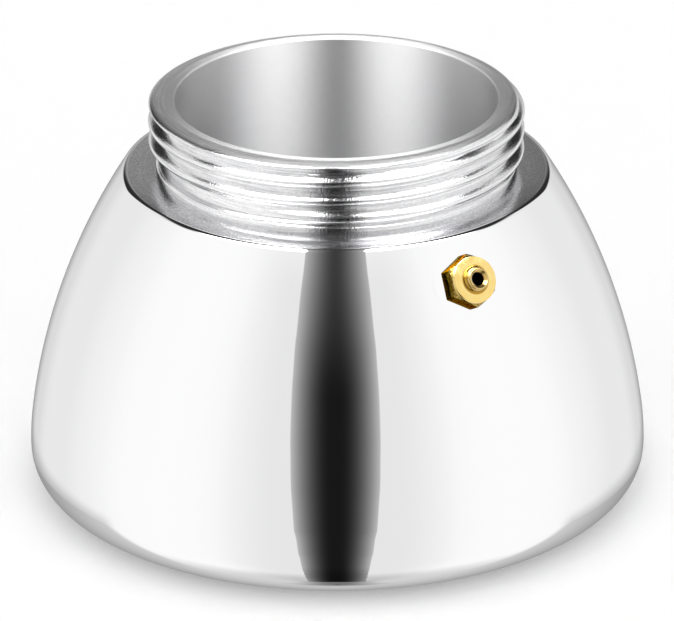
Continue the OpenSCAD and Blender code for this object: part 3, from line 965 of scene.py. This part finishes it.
def lathe(name, outline, angles, materials, stands, matrix=Matrix(), kindAt=None, sharp=30):
    # the outline is closed: (radius, height) rows, or a function that gives them at an angle
    rings = [outline(a) if callable(outline) else outline for a in angles]
    rows, around = len(rings[0]), len(angles)
    box = bmesh.new()
    grid = [[box.verts.new((r * cos(a), r * sin(a), u)) for r, u in ring]
            for a, ring in zip(angles, rings)]
    for j in range(around):
        for i in range(rows):
            k, l = (i + 1) % rows, (j + 1) % around
            if max(rings[j][i][0], rings[j][k][0]) < 1e-6:
                continue
            face = box.faces.new((grid[j][i], grid[l][i], grid[l][k], grid[j][k]))
            face.smooth = True
            face.material_index = kindAt(i) if kindAt else 0
    thing = newPiece(name, materials=materials)
    finishPiece(thing, box, stands, sharp, matrix)
    return thing


def corner(centre, radius, start, end, steps=5):
    # points of an arc, angles measured from outwards towards up
    turns = [radians(start + (end - start) * i / steps) for i in range(steps + 1)]
    return [(centre[0] + radius * cos(turn), centre[1] + radius * sin(turn)) for turn in turns]


def ringOutline(outR, inR, low, high, edge):
    return [(inR, low + edge), (inR, high - edge), (inR + edge, high), (outR - edge, high),
            (outR, high - edge), (outR, low + edge), (outR - edge, low), (inR + edge, low)]


def shankThread():
    # its fine screw thread is drawn as rings, from the seat down
    rows, u, radius, pitch = [], valve["seatU"], valve["shankR"], valve["threadRow"]
    bottom, cut = valve["shankEnd"], valve["endCut"]
    while u - pitch > bottom + valve["threadRun"]:
        rows += [(radius, u), (radius - valve["threadDepth"], u - pitch / 2)]
        u -= pitch
    return rows + [(radius, u), (radius, bottom + cut), (radius - cut, bottom)]


def makeValveBody():
    flats, turn, top, edge = valve["hexAf"], valve["hexTurn"], valve["hexH"], valve["edge"]
    cornerR, faceR = cornerRadius(flats) - valve["cornerCut"], flats / 2 - valve["faceStep"]
    tip, bossR, fillet, tipR = top + valve["bossH"], valve["bossR"], valve["fillet"], valve["tipR"]
    chamberR, roof, ventR, sinkR = valve["chamberR"], valve["roof"], valve["ventR"], valve["sinkR"]
    land, slope, sinkZ = top - valve["faceLand"], tan(radians(valve["cornerSlope"])), tip - valve["sinkDepth"]
    bore = [(chamberR, valve["shankEnd"]), (chamberR, roof), (ventR, roof), (ventR, sinkZ - 0.2),
            (ventR + 0.05, sinkZ)]
    boss = [(sinkR - edge, tip - 2 * edge), (sinkR + 0.04, tip)]
    boss += corner((bossR - tipR, tip - tipR), tipR, 90, 0)
    boss += corner((bossR + fillet, top + fillet), fillet, 180, 270)
    boss += [(faceR - 0.1, top), (faceR - 0.02, top - 0.02), (faceR, top - 0.1), (faceR, land)]
    turnedEnd = len(bore) + len(boss)

    def outlineAt(angle):
        reach = hexRadius(angle, flats, cornerR, turn)
        under = land - (reach - faceR) * slope
        rows = bore + boss + [(reach - 0.02, under + edge), (reach, under - edge)]
        rows += [(reach, valve["seatU"] + 0.25), (reach - 0.08, valve["seatU"])]
        return rows + shankThread()

    def kindAt(row):
        # 0 turned, 1 the drawn flats, whose dark brown is painted shade, 2 the bore, painted black as shade
        if row < len(bore) - 1:
            return 2
        return 1 if turnedEnd <= row < turnedEnd + 3 else 0

    thing = lathe("valveBody", outlineAt, hexAngles(flats, cornerR, turn), [brassTurned, brassShadedFlats, shadeBlack],
                  ("boiler", "valve_body", "brass"), valveMatrix, kindAt, valve["sharp"])
    thing.visible_glossy = False


makeValveBody()
print("valve body made")


# the valve's fittings inside the boiler, on the same axis
fittings = {
    "washerR": 4.923, "washerBoreR": 3.92, "washerTop": -1.3, "washerT": 1.0,
    "nutAf": 10.0, "nutTurn": 0.0, "nutTop": -2.3, "nutT": 2.6, "nutBoreR": 3.92, "nutCut": 0.3,
    "nutCorner": 0.06, "nutSlope": 30.0,
    "plugR": 2.58, "inletR": 1.1, "plugT": 1.6,
    "sealR": 1.9, "sealBoreR": 0.67, "sealT": 0.8, "pinR": 0.65, "headR": 2.4, "headT": 1.0,
    "stemR": 1.12, "stemEnd": 2.9, "stemShadeLength": 0.9, "stemFillet": 0.15, "stemCut": 0.25,
    "edge": 0.1, "softEdge": 0.08, "touch": 0.01, "springSharp": 40.0,
}
springSizes = {
    "Turns": 6.0, "Coil Radius": 2.1, "Wire Radius": 0.25, "Dead Turns": 0.6,
    "Low End": -4.43, "High End": 1.75, "Steps": 288, "Sides": 12,
}


def makeWasherAndNut():
    size = fittings
    washer = ringOutline(size["washerR"], size["washerBoreR"], size["washerTop"] - size["washerT"],
                         size["washerTop"], size["softEdge"])
    lathe("valveWasher", washer, evenAngles(72), [fibre], ("boiler", "valve_washer", "washer"), valveMatrix)

    flats, high, low, cut = size["nutAf"], size["nutTop"], size["nutTop"] - size["nutT"], size["nutCut"]
    cornerR, boreR, edge = cornerRadius(flats) - size["nutCorner"], size["nutBoreR"], size["edge"]
    faceR = flats / 2 - edge

    def nutAt(angle):
        reach = hexRadius(angle, flats, cornerR, size["nutTurn"])
        drop = edge / 2 + (reach - flats / 2) * tan(radians(size["nutSlope"]))
        return [(boreR, low + cut), (boreR, high - cut), (boreR + cut, high), (faceR, high),
                (reach, high - drop), (reach, low + drop), (faceR, low), (boreR + cut, low)]

    lathe("valveLockNut", nutAt, hexAngles(flats, cornerR, size["nutTurn"]), [brassInner],
          ("boiler", "valve_lock_nut", "brass"), valveMatrix, sharp=valve["sharp"])


def makePoppet():
    # the plug that it closes on, its seal and the poppet itself
    size, edge, soft, around = fittings, fittings["edge"], fittings["softEdge"], evenAngles(60)
    plugLow = valve["shankEnd"]
    plug = ringOutline(size["plugR"], size["inletR"], plugLow, plugLow + size["plugT"], edge)
    lathe("valveSeatPlug", plug, around, [brassInner], ("boiler", "valve_seat_plug", "brass"), valveMatrix)

    low = plugLow + size["plugT"] + size["touch"]
    headLow = low + size["sealT"]
    seal = ringOutline(size["sealR"], size["sealBoreR"], low, headLow, soft)
    lathe("poppetSeal", seal, around, [silicone], ("valve_poppet", "poppet_seal", "silicone"), valveMatrix)

    pinR, headR, stemR, headHigh = size["pinR"], size["headR"], size["stemR"], headLow + size["headT"]
    fillet, cut, end = size["stemFillet"], size["stemCut"], size["stemEnd"]
    rows = [(0, low), (pinR - edge, low), (pinR, low + edge), (pinR, headLow), (headR - edge, headLow),
            (headR, headLow + edge), (headR, headHigh - edge), (headR - edge, headHigh),
            (stemR + fillet, headHigh), (stemR, headHigh + fillet)]
    # the stem from here to its end is painted black as shade, down in the valve's bore
    bright = len(rows)
    rows += [(stemR, end - size["stemShadeLength"]), (stemR, end - cut), (stemR - soft, end - soft),
             (stemR - cut, end), (0, end)]
    lathe("valvePoppet", rows, around, [steelPoppet, shadeBlack], ("valve_poppet", "poppet", "turned_steel"),
          valveMatrix, lambda row: 1 if row >= bright else 0)


def makeSpring():
    thing = newPiece("valveSpring", [(0, 0, 0)])
    tree, given = newTree("coilSpring", list(springSizes))
    line = step(tree, "MeshLine", Count=given["Steps"] + 1)
    turns = step(tree, "InputIndex") / given["Steps"] * given["Turns"]
    live = given["Turns"] - given["Dead Turns"] * 2
    share = calc("DIVIDE", turns - given["Dead Turns"], live, clamp=True)
    height = blend(share, given["Low End"], given["High End"])
    core = step(tree, "MeshToCurve", Mesh=moveRound(tree, line, given["Coil Radius"], turns, height))
    circle = step(tree, "CurvePrimitiveCircle", Resolution=given["Sides"], Radius=given["Wire Radius"])
    tube = step(tree, "CurveToMesh", Curve=core, Profile_Curve=circle, Fill_Caps=True)
    finishTree(tree, tube, [(True, steelSpring)])
    bake(thing, tree, springSizes, ("boiler", "valve_spring", "spring_steel"), fittings["springSharp"],
         valveMatrix)
    top = springSizes["High End"] + springSizes["Wire Radius"]
    length = top - springSizes["Low End"] + springSizes["Wire Radius"]
    lift = next(joint for joint in frame["joints"] if joint["name"] == "poppet_lift")["range_m"][1] / mm
    1 - lift / length
    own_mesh(thing)


makeWasherAndNut()
makePoppet()
makeSpring()
print("valve fittings and spring made")


# base: water floor, heat disc and the cap round it
base = {
    "around": 180, "capRecess": 0.4, "capT": 0.6, "capRound": 0.5, "discT": 3.6, "discEdge": 0.3, "fit": 0.02,
    "floorT": 1.0, "floorLipH": 1.6, "floorRound": 1.0, "floorSteps": 12, "rimEdge": 0.25, "flatR": 20.0,
}


def makeBase():
    discZ = base["capRecess"] + base["capT"]
    floorZ = discZ + base["discT"]
    topZ, innerR, steps = floorZ + base["floorT"], side["footRoundR"] - side["wall"], base["floorSteps"]
    start, end = [degrees(acos((side["footRoundR"] - z) / innerR))
                  for z in (floorZ, topZ + base["floorLipH"])]
    rim = [onArc(footC, innerR, start + (min(90, end) - start) * i / steps) for i in range(steps + 1)]
    rimR, rimTop, edge, roundR = rim[-1][0] - base["floorT"], rim[-1][1], base["rimEdge"], base["floorRound"]
    floorRows = [(0, floorZ)] + rim
    floorRows += [(rimR + 3 * edge, rimTop + edge / 5), (rimR + edge, rimTop), (rimR, rimTop - edge)]
    floorRows += corner((rimR - roundR, topZ + roundR), roundR, 0, -90) + [(base["flatR"], topZ), (0, topZ)]

    edge, discR = base["discEdge"], capR - base["capT"] - base["fit"]
    discRows = [(0, discZ), (discR - edge, discZ), (discR, discZ + edge), (discR, floorZ - edge),
                (discR - edge, floorZ), (0, floorZ)]

    inR, low, roundR = capR - base["capT"], base["capRecess"], base["capRound"]
    capRows = [(0, low)] + corner((capR - roundR, low + roundR), roundR, -90, 0)
    capRows += [(capR, floorZ), (inR, floorZ), (inR, discZ), (0, discZ)]

    around = evenAngles(base["around"])
    lathe("waterFloor", floorRows, around, [steelFloor], ("boiler", "water_floor", "satin_steel"))
    lathe("heatDisc", discRows, around, [aluminium], ("boiler", "heat_disc", "aluminium"))
    lathe("baseCap", capRows, around, [steelCap], ("boiler", "base_cap", "satin_steel"))


makeBase()
print("base made")
